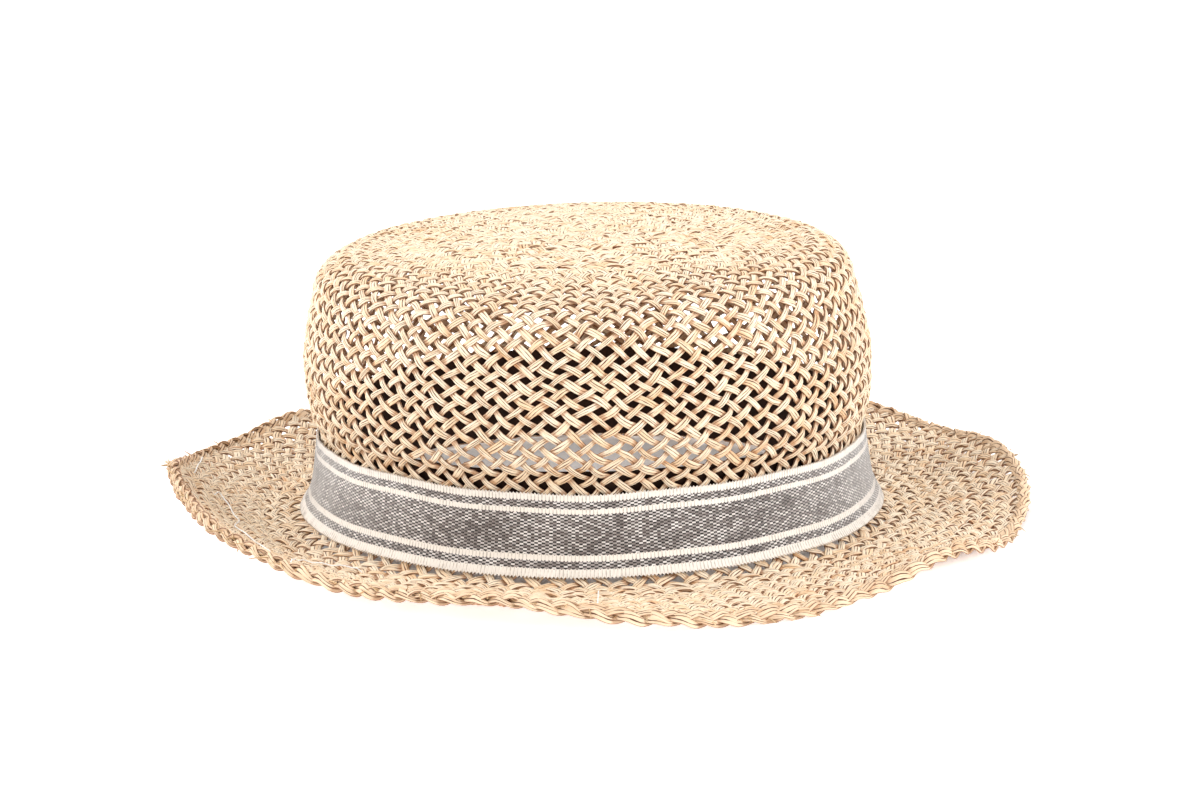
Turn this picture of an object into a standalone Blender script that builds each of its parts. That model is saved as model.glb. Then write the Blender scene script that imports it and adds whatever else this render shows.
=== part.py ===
"""Woven straw hat: one straw body of crown and brim, a plaited edge, a striped outer band and an inner sweatband.

Metres, +Z up. The front faces -Y. The origin is on the floor under the middle of the hat.
"""

import math

import bpy

# Crown, measured on the outside of the straw
CROWN_WIDTH = 0.1890
CROWN_DEPTH = 0.2003
CROWN_HEIGHT = 0.0848
WAIST_INSET = 0.0053
SHOULDER_RISE = 0.0125
SHOULDER_REACH = 0.0160
TIP_TILT = 0.0180
CROWN_LEAN = -0.0018

# Foot of the crown, where the wall turns out into the brim
BREAK_DROP = 0.0023
BREAK_REACH = 0.0060
SEAT_WIDTH = 0.0050

# Brim, from the foot of the crown to the outside of its plaited edge
BRIM_WIDTH = 0.0470
BRIM_CURL = 0.0150
BRIM_CURL_POWER = 1.7

# Straw, plait and bands
STRAW_THICKNESS = 0.0026
PLAIT_RADIUS = 0.0024
PLAIT_GROOVE = 0.0005
PLAIT_TWIST_LENGTH = 0.0240
BAND_HEIGHT = 0.0244
BAND_THICKNESS = 0.0008
BAND_LAP = 0.0160
SWEATBAND_HEIGHT = 0.0318
SWEATBAND_DROP = 0.0016
SWEATBAND_THICKNESS = 0.0012
CLEARANCE = 0.0003

# Facets
SECTORS = 64
TIP_RINGS = 3
SHOULDER_RINGS = 4
WALL_RINGS = 7
BAND_RINGS = 4
BREAK_RINGS = 2
BRIM_RINGS = 4
PLAIT_STATIONS = 220
MERGE = 0.00001

# Wall under the band: rise as a share of the band's height, inset as a share of the waist's
BAND_WALL_ROWS = [
    {"rise": 0.00, "inset": 0.00},
    {"rise": 0.16, "inset": 0.38},
    {"rise": 0.33, "inset": 0.60},
    {"rise": 0.66, "inset": 0.86},
    {"rise": 1.00, "inset": 1.00},
]

# Wall above the band: rise as a share of the height from the band to the shoulder, inset as above
UPPER_WALL_ROWS = [
    {"rise": 0.18, "inset": 0.46},
    {"rise": 0.36, "inset": 0.28},
    {"rise": 0.53, "inset": 0.24},
    {"rise": 0.70, "inset": 0.48},
    {"rise": 0.86, "inset": 0.76},
    {"rise": 1.00, "inset": 1.12},
]

# Waves of the brim, going round from the hat's left (+X) over the back (+Y).
# width is a share of the brim's width, lift a share of the brim's curl.
BRIM_ROWS = [
    {"degrees": 0, "width": 1.045, "lift": 0.46},
    {"degrees": 12, "width": 1.020, "lift": 0.60},
    {"degrees": 32, "width": 1.000, "lift": 0.38},
    {"degrees": 46, "width": 0.990, "lift": 0.50},
    {"degrees": 72, "width": 0.980, "lift": 0.03},
    {"degrees": 96, "width": 0.980, "lift": 0.24},
    {"degrees": 126, "width": 0.980, "lift": 0.03},
    {"degrees": 139, "width": 0.975, "lift": 0.60},
    {"degrees": 152, "width": 0.965, "lift": 0.45},
    {"degrees": 168, "width": 0.955, "lift": 0.60},
    {"degrees": 186, "width": 0.935, "lift": 1.00},
    {"degrees": 200, "width": 0.915, "lift": 0.92},
    {"degrees": 218, "width": 0.990, "lift": 0.78},
    {"degrees": 242, "width": 1.000, "lift": 0.45},
    {"degrees": 258, "width": 1.000, "lift": 0.49},
    {"degrees": 276, "width": 1.020, "lift": 0.19},
    {"degrees": 294, "width": 1.045, "lift": 0.03},
    {"degrees": 308, "width": 1.040, "lift": 0.22},
    {"degrees": 319, "width": 1.040, "lift": 0.46},
    {"degrees": 336, "width": 1.060, "lift": 0.14},
]

STRAW_COLOUR = (0.72, 0.53, 0.33, 1.0)
PLAIT_COLOUR = (0.78, 0.60, 0.38, 1.0)
BAND_COLOUR = (0.22, 0.19, 0.18, 1.0)
SWEATBAND_COLOUR = (0.020, 0.012, 0.008, 1.0)


def slopes(places, values):
    """Slopes of a curve that passes through the rows and never swings past them."""
    steps = [b - a for a, b in zip(places, places[1:])]
    rises = [(b - a) / s for a, b, s in zip(values, values[1:], steps)]
    inner = []
    for before, after, left, right in zip(rises, rises[1:], steps, steps[1:]):
        if before * after <= 0:
            inner.append(0.0)
        else:
            near, far = 2 * right + left, right + 2 * left
            inner.append((near + far) / (near / before + far / after))
    return [rises[0], *inner, rises[-1]]


def curve_through(places, values):
    """A smooth function of place, held at its end values outside the rows."""
    tangents = slopes(places, values)

    def value(place):
        if place <= places[0]:
            return values[0]
        if place >= places[-1]:
            return values[-1]
        i = max(k for k, start in enumerate(places) if start <= place)
        step = places[i + 1] - places[i]
        t = (place - places[i]) / step
        stay = (1 + 2 * t) * (1 - t) ** 2
        leave = t * (1 - t) ** 2
        arrive = t * t * (t - 1)
        return (
            values[i] * stay
            + values[i + 1] * (1 - stay)
            + step * (tangents[i] * leave + tangents[i + 1] * arrive)
        )

    return value


def around(rows, column):
    """A smooth function of the angle in degrees that closes on itself."""
    places = [row["degrees"] + turn for turn in (-360, 0, 360) for row in rows]
    values = [row[column] for _ in range(3) for row in rows]
    value = curve_through(places, values)
    return lambda angle: value(math.degrees(angle) % 360)


HALF_WIDTH = CROWN_WIDTH / 2
OVAL = CROWN_DEPTH / CROWN_WIDTH
SHOULDER_FOOT = CROWN_HEIGHT - SHOULDER_RISE
SEAT_START = HALF_WIDTH + BREAK_REACH
SEAT_END = SEAT_START + SEAT_WIDTH
PLAIT_CENTRE_GAP = CLEARANCE + PLAIT_RADIUS
STRAW_EDGE = HALF_WIDTH + BRIM_WIDTH - PLAIT_RADIUS - PLAIT_CENTRE_GAP
BRIM_SHARE = around(BRIM_ROWS, "width")
BRIM_LIFT = around(BRIM_ROWS, "lift")


def wall_rows():
    """Height and half width of the straw wall from the foot of the crown to the shoulder."""
    upper = SHOULDER_FOOT - BAND_HEIGHT
    rows = [(row["rise"] * BAND_HEIGHT, row["inset"]) for row in BAND_WALL_ROWS]
    rows += [(BAND_HEIGHT + row["rise"] * upper, row["inset"]) for row in UPPER_WALL_ROWS]
    return [(height, HALF_WIDTH - inset * WAIST_INSET) for height, inset in rows]


WALL_RADIUS = curve_through(*zip(*wall_rows()))


def wall_slope(height):
    """How much the wall's radius grows for each metre of height."""
    step = CROWN_HEIGHT / 1000
    low = max(height - step, 0)
    high = min(height + step, SHOULDER_FOOT)
    return (WALL_RADIUS(high) - WALL_RADIUS(low)) / (high - low)


def wall_offset(height, distance):
    """The wall's radius moved straight out of the straw by distance, at the same height."""
    return WALL_RADIUS(height) + distance * math.hypot(1, wall_slope(height))


def spread(count, start, end):
    """Evenly spaced values from start to end, both included."""
    return [start + (end - start) * i / count for i in range(count + 1)]


def straw_profile():
    """Outside of the straw from the middle of the tip down to the edge of the brim, as radius and height."""
    foot_radius = WALL_RADIUS(SHOULDER_FOOT)
    tip_radius = foot_radius - SHOULDER_REACH
    tip = [(r, CROWN_HEIGHT) for r in spread(TIP_RINGS, 0, tip_radius)]
    shoulder = [
        (
            tip_radius + SHOULDER_REACH * math.sin(a),
            SHOULDER_FOOT + SHOULDER_RISE * math.cos(a),
        )
        for a in spread(SHOULDER_RINGS, 0, math.pi / 2)
    ]
    wall = [(WALL_RADIUS(h), h) for h in spread(WALL_RINGS, SHOULDER_FOOT, BAND_HEIGHT)]
    under_band = [(WALL_RADIUS(h), h) for h in spread(BAND_RINGS, BAND_HEIGHT, 0)]
    turn_out = [
        (
            HALF_WIDTH + BREAK_REACH * (1 - math.cos(a)),
            -BREAK_DROP * math.sin(a),
        )
        for a in spread(BREAK_RINGS, 0, math.pi / 2)
    ]
    seat = [(SEAT_END, -BREAK_DROP)]
    brim = [(r, -BREAK_DROP) for r in spread(BRIM_RINGS, SEAT_END, STRAW_EDGE)]
    return (
        tip[:-1] + shoulder[:-1] + wall[:-1] + under_band[:-1] + turn_out + seat + brim[1:]
    )


def ring_heights(low, high):
    """Heights of a band's rings: its two ends, and the straw's own rings between them."""
    straw = spread(BAND_RINGS, 0, BAND_HEIGHT)
    straw += spread(WALL_RINGS, BAND_HEIGHT, SHOULDER_FOOT)[1:]
    return [low, *[height for height in straw if low < height < high], high]


def ring_profile(inner, outer, heights):
    """Closed section of a band between two offsets from the straw's outside, first down its outer side."""
    down = sorted(heights, reverse=True)
    outside = [(wall_offset(h, outer), h) for h in down]
    inside = [(wall_offset(h, inner), h) for h in reversed(down)]
    return outside + inside


def hat_point(radius, angle, height):
    """Moves a point of the round hat to its place on the oval, leaning and waved one."""
    across, along = math.cos(angle), OVAL * math.sin(angle)
    ramp = (height - BAND_HEIGHT) / (SHOULDER_FOOT - BAND_HEIGHT)
    ramp = min(max(ramp, 0.0), 1.0)
    if radius <= HALF_WIDTH:
        x = radius * across
        return x + CROWN_LEAN * ramp, radius * along, height + TIP_TILT * ramp * x
    reach = radius - HALF_WIDTH
    seat_reach = SEAT_END - HALF_WIDTH
    if radius > SEAT_END:
        t = (radius - SEAT_END) / (STRAW_EDGE - SEAT_END)
        full = HALF_WIDTH + BRIM_WIDTH - SEAT_END
        share = (BRIM_SHARE(angle) * BRIM_WIDTH - seat_reach) / full
        reach = seat_reach + (radius - SEAT_END) * share
        height += BRIM_CURL * BRIM_LIFT(angle) * t**BRIM_CURL_POWER
    out_x, out_y = math.cos(angle) * OVAL, math.sin(angle)
    length = math.hypot(out_x, out_y)
    x = HALF_WIDTH * across + reach * out_x / length
    y = HALF_WIDTH * along + reach * out_y / length
    return x, y, height


def finish(name, colour, roughness):
    """A material of the piece's own."""
    material = bpy.data.materials.new(name)
    material.use_nodes = True
    surface = material.node_tree.nodes["Principled BSDF"]
    surface.inputs["Base Color"].default_value = colour
    surface.inputs["Roughness"].default_value = roughness
    surface.inputs["Metallic"].default_value = 0.0
    return material


def turned(name, profile, closed):
    """A profile turned once round the Z axis, as a mesh with smooth sides."""
    mesh = bpy.data.meshes.new(name)
    edges = [(i, i + 1) for i in range(len(profile) - 1)]
    if closed:
        edges.append((len(profile) - 1, 0))
    mesh.from_pydata([(radius, 0, height) for radius, height in profile], edges, [])
    lathe = bpy.data.objects.new(name, mesh)
    bpy.context.scene.collection.objects.link(lathe)
    screw = lathe.modifiers.new("Screw", "SCREW")
    screw.steps = SECTORS
    screw.render_steps = SECTORS
    screw.use_merge_vertices = True
    screw.merge_threshold = MERGE
    graph = bpy.context.evaluated_depsgraph_get()
    round_mesh = bpy.data.meshes.new_from_object(lathe.evaluated_get(graph))
    bpy.data.objects.remove(lathe)
    round_mesh.name = name
    return round_mesh


def turned_piece(name, profile, closed, collection):
    """A turned profile pressed into the hat's oval and waves."""
    mesh = turned(name, profile, closed)
    for vertex in mesh.vertices:
        x, y, z = vertex.co
        vertex.co = hat_point(math.hypot(x, y), math.atan2(y, x), z)
    piece = bpy.data.objects.new(name, mesh)
    collection.objects.link(piece)
    mesh.shade_smooth()
    mesh.set_sharp_from_angle(angle=math.radians(40))
    return piece


def straw_body(collection):
    """Crown and brim, woven in one: an open surface given the straw's thickness on its inside."""
    body = turned_piece("straw_body", straw_profile(), False, collection)
    wall = body.modifiers.new("Straw thickness", "SOLIDIFY")
    wall.thickness = STRAW_THICKNESS
    wall.offset = -1
    wall.use_even_offset = True
    body.data.materials.append(finish("Seagrass", STRAW_COLOUR, 0.75))
    return body


def hat_band(collection):
    """Striped ribbon round the foot of the crown, its outer end lapped over the inner one at the back."""
    heights = ring_heights(0, BAND_HEIGHT)
    section = ring_profile(CLEARANCE, CLEARANCE + BAND_THICKNESS, heights)
    band = turned_piece("hat_band", section, True, collection)
    half_lap = math.asin(BAND_LAP / CROWN_DEPTH)
    seam = math.pi / 2
    middle = CLEARANCE + BAND_THICKNESS / 2
    for vertex in band.data.vertices:
        x, y, z = vertex.co
        angle = math.atan2(y / OVAL, x)
        radius = math.hypot(x, y / OVAL)
        if abs(angle - seam) < half_lap and radius > wall_offset(z, middle):
            vertex.co.y += BAND_THICKNESS
    band.data.materials.append(finish("Striped ribbon", BAND_COLOUR, 0.85))
    return band


def sweatband(collection):
    """Dark inner band that meets the head, standing a little above the outer one."""
    inset = STRAW_THICKNESS + CLEARANCE
    heights = ring_heights(-SWEATBAND_DROP, SWEATBAND_HEIGHT - SWEATBAND_DROP)
    section = ring_profile(-inset - SWEATBAND_THICKNESS, -inset, heights)
    band = turned_piece("sweatband", section, True, collection)
    band.data.materials.append(finish("Sweatband", SWEATBAND_COLOUR, 0.9))
    return band


def edge_centre(angle):
    """Middle of the plait beyond the straw's edge, half way through the straw's thickness."""
    step = BRIM_WIDTH / 1000
    edge = hat_point(STRAW_EDGE, angle, -BREAK_DROP)
    inner = hat_point(STRAW_EDGE - step, angle, -BREAK_DROP)
    run = [a - b for a, b in zip(edge, inner)]
    length = math.sqrt(sum(c * c for c in run))
    run = [c / length for c in run]
    level = math.hypot(run[0], run[1])
    down = (run[0] / level * run[2], run[1] / level * run[2], -level)
    half = STRAW_THICKNESS / 2
    return [e + PLAIT_CENTRE_GAP * r + half * d for e, r, d in zip(edge, run, down)]


def closed_spline(name, points):
    """A closed run of straight edges as a curve."""
    curve = bpy.data.curves.new(name, "CURVE")
    curve.dimensions = "3D"
    spline = curve.splines.new("POLY")
    spline.points.add(len(points) - 1)
    for target, point in zip(spline.points, points):
        target.co = (*point, 1)
    spline.use_cyclic_u = True
    return curve


def edge_plait(collection, guides):
    """Plaited edge: a three-lobed section that twists as it runs round the brim."""
    lobes = 3
    section = []
    for i in range(2 * lobes):
        radius = PLAIT_RADIUS - PLAIT_GROOVE * (i % 2)
        turn = math.pi * i / lobes
        section.append((radius * math.cos(turn), -radius * math.sin(turn), 0))
    lobe_curve = closed_spline("plait_section", section)
    lobe_curve.dimensions = "2D"
    lobe = bpy.data.objects.new("plait_section", lobe_curve)
    lobe.hide_render = True
    lobe.display_type = "WIRE"
    guides.objects.link(lobe)

    angles = [2 * math.pi * i / PLAIT_STATIONS for i in range(PLAIT_STATIONS)]
    points = [edge_centre(angle) for angle in angles]
    run = sum(math.dist(a, b) for a, b in zip(points, points[1:] + points[:1]))
    turns = round(run / PLAIT_TWIST_LENGTH)
    path = closed_spline("edge_plait", points)
    path.twist_mode = "Z_UP"
    path.bevel_mode = "OBJECT"
    path.bevel_object = lobe
    for point, angle in zip(path.splines[0].points, angles):
        point.tilt = turns * angle
    plait = bpy.data.objects.new("edge_plait", path)
    collection.objects.link(plait)
    path.materials.append(finish("Plaited seagrass", PLAIT_COLOUR, 0.75))
    return plait


def stand_on_floor(pieces, collection):
    """Puts the middle of the hat's outline over the origin and its lowest point on the floor."""
    bpy.context.view_layer.update()
    graph = bpy.context.evaluated_depsgraph_get()
    places = []
    for piece in pieces:
        shown = piece.evaluated_get(graph)
        places += [vertex.co.copy() for vertex in shown.to_mesh().vertices]
        shown.to_mesh_clear()
    low = [min(place[k] for place in places) for k in range(3)]
    high = [max(place[k] for place in places) for k in range(3)]
    stand = bpy.data.objects.new("hat_stand_point", None)
    stand.location = (-(low[0] + high[0]) / 2, -(low[1] + high[1]) / 2, -low[2])
    collection.objects.link(stand)
    for piece in pieces:
        piece.parent = stand


def main():
    for item in list(bpy.data.objects):
        bpy.data.objects.remove(item)
    hat = bpy.data.collections.new("Straw hat")
    guides = bpy.data.collections.new("Guides")
    bpy.context.scene.collection.children.link(hat)
    bpy.context.scene.collection.children.link(guides)
    pieces = [straw_body(hat), hat_band(hat), sweatband(hat), edge_plait(hat, guides)]
    stand_on_floor(pieces, hat)


main()
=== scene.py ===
"""Woven straw hat: cords, plait, ribbon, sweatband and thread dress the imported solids.

Metres, +Z up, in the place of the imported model. The front faces -Y.
"""

import math
from functools import partial

import bpy
import numpy as np
from bpy.props import FloatProperty, FloatVectorProperty, IntProperty, PointerProperty
from bpy.types import Operator, Panel, PropertyGroup
from mathutils import Euler, Matrix, Vector


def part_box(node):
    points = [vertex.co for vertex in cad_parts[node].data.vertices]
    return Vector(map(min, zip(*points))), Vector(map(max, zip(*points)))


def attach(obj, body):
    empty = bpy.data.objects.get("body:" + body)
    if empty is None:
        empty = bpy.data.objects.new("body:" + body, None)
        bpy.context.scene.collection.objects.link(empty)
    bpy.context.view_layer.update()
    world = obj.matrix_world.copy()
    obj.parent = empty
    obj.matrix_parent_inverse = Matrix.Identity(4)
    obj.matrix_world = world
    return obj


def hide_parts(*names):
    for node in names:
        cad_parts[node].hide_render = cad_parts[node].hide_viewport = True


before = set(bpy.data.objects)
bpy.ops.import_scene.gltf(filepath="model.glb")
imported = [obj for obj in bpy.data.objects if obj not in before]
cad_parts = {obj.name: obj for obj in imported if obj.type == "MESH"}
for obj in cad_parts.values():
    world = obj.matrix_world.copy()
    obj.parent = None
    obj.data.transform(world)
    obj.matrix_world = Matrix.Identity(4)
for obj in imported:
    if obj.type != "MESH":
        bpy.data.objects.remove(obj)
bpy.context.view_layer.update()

bl_info = {
    "name": "Woven Straw Hat",
    "version": (1, 0, 0),
    "blender": (4, 5, 0),
    "location": "View3D > Sidebar > Straw Hat",
    "description": "Weaves a straw hat with a ribbon round a packed model of it",
    "category": "Object",
}

# Form of the straw, the same values as the solids have
CROWN_WIDTH = 0.1890
CROWN_DEPTH = 0.2003
CROWN_HEIGHT = 0.0848
WAIST_INSET = 0.0053
SHOULDER_RISE = 0.0125
SHOULDER_REACH = 0.0160
TIP_TILT = 0.0180
CROWN_LEAN = -0.0018
BREAK_DROP = 0.0023
BREAK_REACH = 0.0060
SEAT_WIDTH = 0.0050
BRIM_WIDTH = 0.0470
BRIM_CURL = 0.0150
BRIM_CURL_POWER = 1.7
STRAW_THICKNESS = 0.0026
PLAIT_RADIUS = 0.0024
BAND_HEIGHT = 0.0244
RIBBON_DROP = 0.0009
RIBBON_GAP = 0.0002
RIB_DEPTH = 0.00009
RIBBON_TOOTH = 0.00040
SWEATBAND_HEIGHT = 0.0318
SWEATBAND_DROP = 0.0016
SWEATBAND_THICKNESS = 0.0012
TAPE_THICKNESS = 0.75 * SWEATBAND_THICKNESS
CLEARANCE = 0.0003

# Wall of the crown. Columns: rise as a share of its stretch, inset as a share of the waist's
BAND_WALL_ROWS = ((0.00, 0.00), (0.16, 0.38), (0.33, 0.60), (0.66, 0.86), (1.00, 1.00))
UPPER_WALL_ROWS = (
    (0.18, 0.46), (0.36, 0.28), (0.53, 0.24), (0.70, 0.48), (0.86, 0.76), (1.00, 1.12),
)

# Waves of the brim. Columns: degrees, width as a share of the brim's, lift as a share of its curl
BRIM_ROWS = (
    (0, 1.045, 0.46), (12, 1.020, 0.60), (32, 1.000, 0.38), (46, 0.990, 0.50), (72, 0.980, 0.03),
    (96, 0.980, 0.24), (126, 0.980, 0.03), (139, 0.975, 0.60), (152, 0.965, 0.45),
    (168, 0.955, 0.60), (186, 0.935, 1.00), (200, 0.915, 0.92), (218, 0.990, 0.78),
    (242, 1.000, 0.45), (258, 1.000, 0.49), (276, 1.020, 0.19), (294, 1.045, 0.03),
    (308, 1.040, 0.22), (319, 1.040, 0.46), (336, 1.060, 0.14),
)

# The straw is soft: its tip bulges between the shoulders, and its front shoulder sinks
TIP_BULGE = 0.0030
TIP_BULGE_RADIUS = 0.0720
FRONT_SINK = 0.0040
FRONT_SINK_RADII = (0.0460, 0.0840)
FRONT_SINK_HEIGHTS = (0.0480, 0.0740)

HALF_WIDTH = CROWN_WIDTH / 2
OVAL = CROWN_DEPTH / CROWN_WIDTH
SHOULDER_FOOT = CROWN_HEIGHT - SHOULDER_RISE
SEAT_END = HALF_WIDTH + BREAK_REACH + SEAT_WIDTH
STRAW_EDGE = HALF_WIDTH + BRIM_WIDTH - 2 * PLAIT_RADIUS - CLEARANCE

# The crown's axis runs through the middle of the sweatband, and the ribbon stands on the crown's foot
SWEAT_LOW, SWEAT_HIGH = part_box("sweatband")
SWEAT_MIDDLE = [(low + high) / 2 for low, high in zip(SWEAT_LOW, SWEAT_HIGH)]
CROWN_FOOT = Vector((*SWEAT_MIDDLE[:2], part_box("hat_band")[0][2]))

# Zones of the weave, from the middle of the tip outwards. The straw doubles its cords, or adds half
# as many again, where they would lie too far apart. Columns: cords in each direction, first radius
WEAVE_ZONES = ((10, 0.0009), (20, 0.0120), (40, 0.0250), (80, 0.0500), (120, 0.1085))

# Height of the rows of crossings. Columns: height on the crown, row as a share of the wall's
WALL_ROWS = ((0.0685, 1.06), (0.0560, 1.05), (0.0420, 0.97), (0.0250, 0.96), (0.0020, 0.98))

# Clear thread over the brim. Columns: degrees round the hat, millimetres inside the edge of the straw
THREAD_ROUTES = (
    ((167.5, -0.5), (171.0, 1.0), (177.0, 2.5), (179.0, 3.0)),
    ((185.5, 10.5), (184.9, 12.3), (190.4, 14.8), (197.5, 15.5), (206.0, 9.5), (212.0, 10.5),
     (220.0, 4.0), (225.0, 0.5)),
    ((228.0, 1.0), (225.0, 8.0), (222.2, 17.5), (224.0, 25.0), (228.0, 31.0)),
    ((270.9, 30.0), (270.6, 9.8)),
)

# Distances along the straw at which the closed tip ends and the wall's open weave begins
CLOSED_END = 0.0480
OPEN_START = 0.0660
# The brim's own rows begin this far beyond the level seat under the ribbon
PAST_SEAT = 0.002
# Rows and cords are this much smaller where the weave turns over the shoulder and the break
TURN_SHARE = 0.88
# The closed tip is pressed flatter than the wall, and the brim stands out more. Shares of the relief
TIP_RELIEF = 0.72
BRIM_RELIEF = 0.16
WALL_RELIEF_RANGE = (0.045, 0.075)
BOB_HEIGHT = 0.00014
# The cords run no nearer to the middle of the tip than the first of these. The second keeps their
# turns small there, and beyond the third they stray fully
HEART_RADIUS = 0.0008
MIN_GIRTH_RADIUS = 0.0015
STRAY_START = 0.03
RINGS_PER_CROSSING = 3
# Where one zone ends, its cords tuck this many rows, and this deep, under those of the next
TUCK_ROWS = 1.0
TUCK_DEPTH = 0.0013
# Nothing shows between the ribbon and the sweatband, from the first of these heights to the second
HIDDEN_WALL = (0.0205, 0.0040)
FLOOR_GAP = 0.0002

# Section of a cord folded from leaves, in half widths and half thicknesses, with two creases on top
CORD_SECTION = (
    (1.00, 0.05), (0.80, 0.78), (0.36, 0.64), (0.02, 0.96), (-0.38, 0.62),
    (-0.82, 0.80), (-1.00, 0.00), (-0.52, -0.80), (0.52, -0.80),
)
CREASES = (2, 4)
ROUND_SECTION = tuple((math.cos(math.pi * i / 3), math.sin(math.pi * i / 3)) for i in range(6))


def metres(name, default, description):
    """A length in metres that the panel shows."""
    return FloatProperty(name=name, description=description, default=default, unit="LENGTH")


class HatSizes(PropertyGroup):
    """Sizes of what is woven, plaited and sewn."""

    cord_relief: metres("Weave relief", 0.00046, "How far a cord rises over the next and dips under it")
    cord_thickness: metres("Cord thickness", 0.00128, "Thickness of a flattened cord")
    tip_cord: metres("Cord width on the tip", 0.0034, "Width of a cord where the weave is closed")
    wall_cord: metres("Cord width in the wall", 0.00208, "Width of a cord in the openwork of the crown")
    brim_cord: metres("Cord width in the brim", 0.0029, "Width of a cord in the brim")
    tip_row: metres("Row height on the tip", 0.0029, "Distance between rows of crossings")
    wall_row: metres("Row height in the wall", 0.00288, "Distance between rows of crossings")
    brim_row: metres("Row height in the brim", 0.00222, "Distance between rows of crossings")
    unevenness: metres("Unevenness", 0.00042, "How far the hand-woven cords stray from an even lattice")
    plait_cord: metres("Plait cord", 0.0030, "Width of each of the three cords of the plaited edge")
    plait_pitch: metres("Plait pitch", 0.0222, "Length in which a cord goes once across and back")
    ribbon_thickness: metres("Ribbon thickness", 0.0005, "Thickness of the ribbed ribbon")
    ribbon_rib: metres("Ribbon rib", 0.00116, "Distance between the ribs across the ribbon")
    ribbon_lap: metres("Ribbon lap", 0.016, "How far the ribbon's end laps over its start at the back")
    fibres: IntProperty(
        name="Loose fibres", description="Fibre ends that stand out of the edge of the brim",
        default=280, min=0,
    )
    thread: metres("Thread", 0.00045, "Diameter of the clear thread over the brim")


def srgb(hex_colour):
    """Red, green and blue from 0 to 1 of a six-digit sRGB hex colour."""
    return tuple(int(hex_colour[i:i + 2], 16) / 255 for i in (1, 3, 5))


def linear(colour):
    """Linear red, green, blue and alpha of an sRGB colour, given in hex or from 0 to 1."""
    parts = srgb(colour) if isinstance(colour, str) else colour
    return (*[c / 12.92 if c <= 0.04045 else ((c + 0.055) / 1.055) ** 2.4 for c in parts], 1.0)


def colour_setting(name, default, description):
    """A colour that the panel shows, from its hex value."""
    return FloatVectorProperty(
        name=name, description=description, default=srgb(default), min=0, max=1,
        subtype="COLOR_GAMMA",
    )


class HatColours(PropertyGroup):
    """Colours of the straw and of the trimming, as their sRGB values."""

    straw_pale: colour_setting("Pale straw", "#ECDBC2", "The palest leaves")
    straw_mid: colour_setting("Straw", "#E4C7A3", "The commonest leaves")
    ribbon_cream: colour_setting("Ribbon cream", "#EEE6DC", "Stripes and edges of the ribbon")
    tape_brown: colour_setting("Tape brown", "#3C2216", "Raised threads of the tape inside")


def curve_through(places, values):
    """A smooth function through the rows that never swings past them, for arrays."""
    places = np.array(places, float)
    values = np.array(values, float)
    steps = np.diff(places)
    rises = np.diff(values) / steps
    near = 2 * steps[1:] + steps[:-1]
    far = steps[1:] + 2 * steps[:-1]
    turning = rises[:-1] * rises[1:] <= 0
    left = np.where(turning, 1.0, rises[:-1])
    right = np.where(turning, 1.0, rises[1:])
    inner = np.where(turning, 0.0, (near + far) / (near / left + far / right))
    slopes = np.concatenate([rises[:1], inner, rises[-1:]])

    def value(place):
        place = np.clip(place, places[0], places[-1])
        i = np.clip(np.searchsorted(places, place, side="right") - 1, 0, len(steps) - 1)
        t = (place - places[i]) / steps[i]
        stay = (1 + 2 * t) * (1 - t) ** 2
        bend = slopes[i] * t * (1 - t) ** 2 + slopes[i + 1] * t * t * (t - 1)
        return values[i] * stay + values[i + 1] * (1 - stay) + steps[i] * bend

    return value


def around(column):
    """A smooth function of the angle, closed on itself, from a column of the brim's rows."""
    places = [row[0] + turn for turn in (-360, 0, 360) for row in BRIM_ROWS]
    value = curve_through(places, [row[column] for _ in range(3) for row in BRIM_ROWS])
    return lambda angle: value(np.degrees(angle) % 360)


BRIM_SHARE = around(1)
BRIM_LIFT = around(2)


def wall_rows():
    """Height and half width of the straw wall from the foot of the crown to the shoulder."""
    upper = SHOULDER_FOOT - BAND_HEIGHT
    rows = [(rise * BAND_HEIGHT, inset) for rise, inset in BAND_WALL_ROWS]
    rows += [(BAND_HEIGHT + rise * upper, inset) for rise, inset in UPPER_WALL_ROWS]
    return [(height, HALF_WIDTH - inset * WAIST_INSET) for height, inset in rows]


WALL_RADIUS = curve_through(*zip(*wall_rows()))


def straw_profile():
    """Radius, height and distance along the outside of the straw, from the tip's middle to the edge."""
    foot_radius = float(WALL_RADIUS(SHOULDER_FOOT))
    tip_radius = foot_radius - SHOULDER_REACH
    turn = np.linspace(0, math.pi / 2, 24)
    heights = np.linspace(SHOULDER_FOOT, 0, 160)
    stretches = [
        (np.array([0, tip_radius]), np.full(2, CROWN_HEIGHT)),
        (tip_radius + SHOULDER_REACH * np.sin(turn), SHOULDER_FOOT + SHOULDER_RISE * np.cos(turn)),
        (WALL_RADIUS(heights), heights),
        (HALF_WIDTH + BREAK_REACH * (1 - np.cos(turn)), -BREAK_DROP * np.sin(turn)),
        (np.array([SEAT_END, STRAW_EDGE]), np.full(2, -BREAK_DROP)),
    ]
    radius = np.concatenate([r for r, _ in stretches])
    height = np.concatenate([h for _, h in stretches])
    steps = np.hypot(np.diff(radius), np.diff(height))
    keep = np.concatenate([[True], steps > 1e-7])
    distance = np.concatenate([[0], np.cumsum(steps)])
    return radius[keep], height[keep], distance[keep]


PROFILE_RADIUS, PROFILE_HEIGHT, PROFILE_DISTANCE = straw_profile()


def place_of_radius(radius):
    """Distance along the straw, of a radius on the tip or on the brim."""
    if radius < HALF_WIDTH - SHOULDER_REACH:
        return radius
    outer = PROFILE_RADIUS > HALF_WIDTH
    return float(np.interp(radius, PROFILE_RADIUS[outer], PROFILE_DISTANCE[outer]))


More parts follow.
